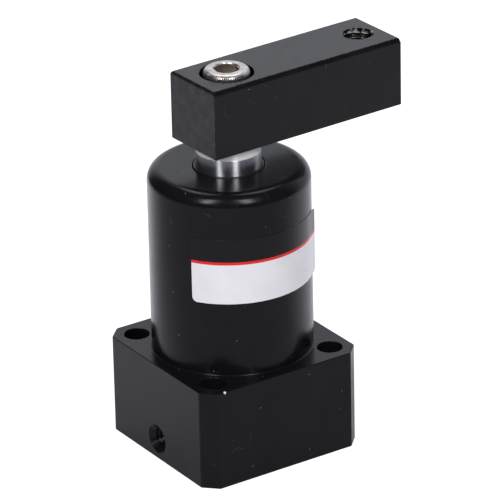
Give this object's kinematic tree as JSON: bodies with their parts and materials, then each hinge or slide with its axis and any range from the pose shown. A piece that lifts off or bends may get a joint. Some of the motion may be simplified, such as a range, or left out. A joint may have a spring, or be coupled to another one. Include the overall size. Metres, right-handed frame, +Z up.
{
  "type": "rotary clamp cylinder",
  "caption": "Double-acting pneumatic cylinder with a square base and round tube, whose rod makes a quarter turn on its stroke and carries a clamp arm.",
  "frame": {"origin": "on the tube's axis, on the base plane", "axes": "+Z up the tube towards the clamp arm, +X along the arm when clamped (the arm itself stands 2.1 degrees anticlockwise of it)"},
  "size_m": [0.0604, 0.04, 0.086],
  "materials": {
    "black_anodised": "black anodised, satin",
    "plain_aluminium": "turned",
    "hard_chrome": "ground and chrome plated",
    "stainless_steel": "machined",
    "hardened_steel": "ground",
    "spring_steel": "blackened",
    "bronze": "sintered",
    "black_rubber": "matt",
    "wear_ring_plastic": "matt",
    "printed_film": "satin"
  },
  "bodies": {
    "housing": {"housing": "black_anodised", "rear_cover": "plain_aluminium", "cover_o_ring": "black_rubber", "cover_key": "hardened_steel", "retaining_ring": "spring_steel", "passage_ball_left": "hardened_steel", "passage_ball_right": "hardened_steel", "twist_guide": "hardened_steel", "guide_pin": "hardened_steel", "rear_bumper": "black_rubber", "head_bumper": "black_rubber", "rod_bush": "bronze", "rod_seal": "black_rubber", "rod_wiper": "black_rubber", "label": "printed_film"},
    "piston": {"piston": "plain_aluminium", "piston_seal_lower": "black_rubber", "piston_seal_upper": "black_rubber", "wear_ring": "wear_ring_plastic", "piston_o_ring": "black_rubber"},
    "rod": {"piston_rod": "hard_chrome", "piston_nut": "hardened_steel", "follower_pin_left": "hardened_steel", "follower_pin_right": "hardened_steel", "clamp_arm": "black_anodised", "arm_screw": "stainless_steel"}
  },
  "joints": [
    {"name": "piston_stroke", "type": "slide", "parent": "housing", "child": "piston", "axis": [0, 0, 1], "range_m": [0, 0.023]},
    {"name": "swing", "type": "hinge", "parent": "piston", "child": "rod", "pos_m": [0, 0, 0.0176], "axis": [0, 0, 1], "range_deg": [0, 90]}
  ],
  "couplings": [
    {"joint": "swing", "follows": "piston_stroke", "rad_per_m": 68.295}
  ]
}
